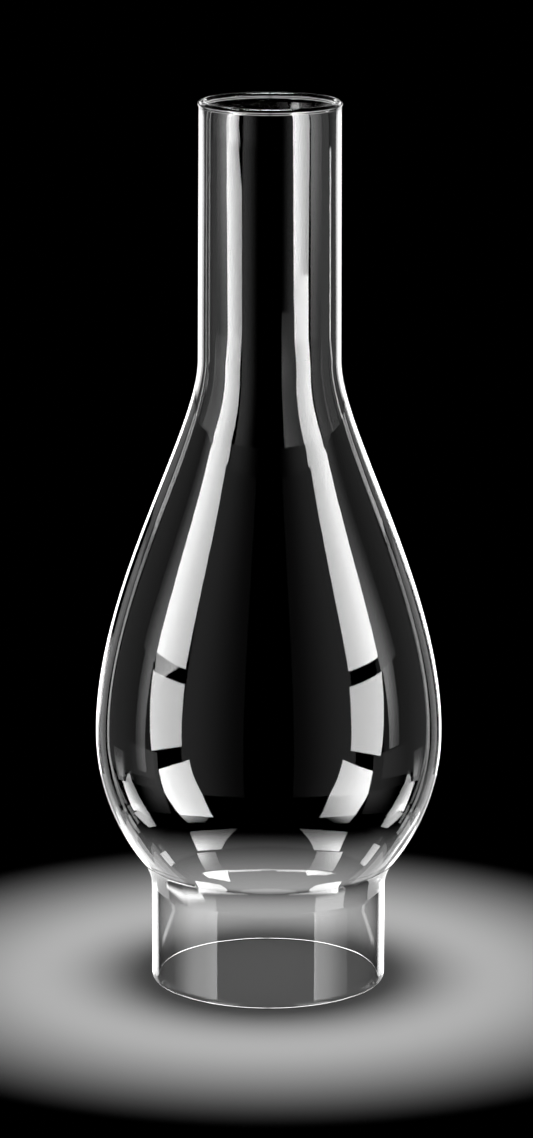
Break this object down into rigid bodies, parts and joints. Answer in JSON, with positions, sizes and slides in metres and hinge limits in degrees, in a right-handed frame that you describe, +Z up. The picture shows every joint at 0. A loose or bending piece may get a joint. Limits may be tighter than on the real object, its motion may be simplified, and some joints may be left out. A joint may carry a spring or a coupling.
{
  "type": "oil lamp chimney",
  "caption": "Clear glass chimney for an oil lamp: a straight fitter, a pear-shaped bulb, a hollow-curved neck and a long stack with a melted rim.",
  "frame": {"origin": "on the axis, in the plane of the ground foot that the chimney stands on", "axes": "+Z up the axis, from the foot to the rim; the part is round about Z"},
  "size_m": [0.0982, 0.0982, 0.252],
  "materials": {
    "clear_glass": "clear blown glass with a smooth fire-polished surface"
  },
  "bodies": {
    "root": {"glass_chimney": "clear_glass"}
  },
  "joints": []
}
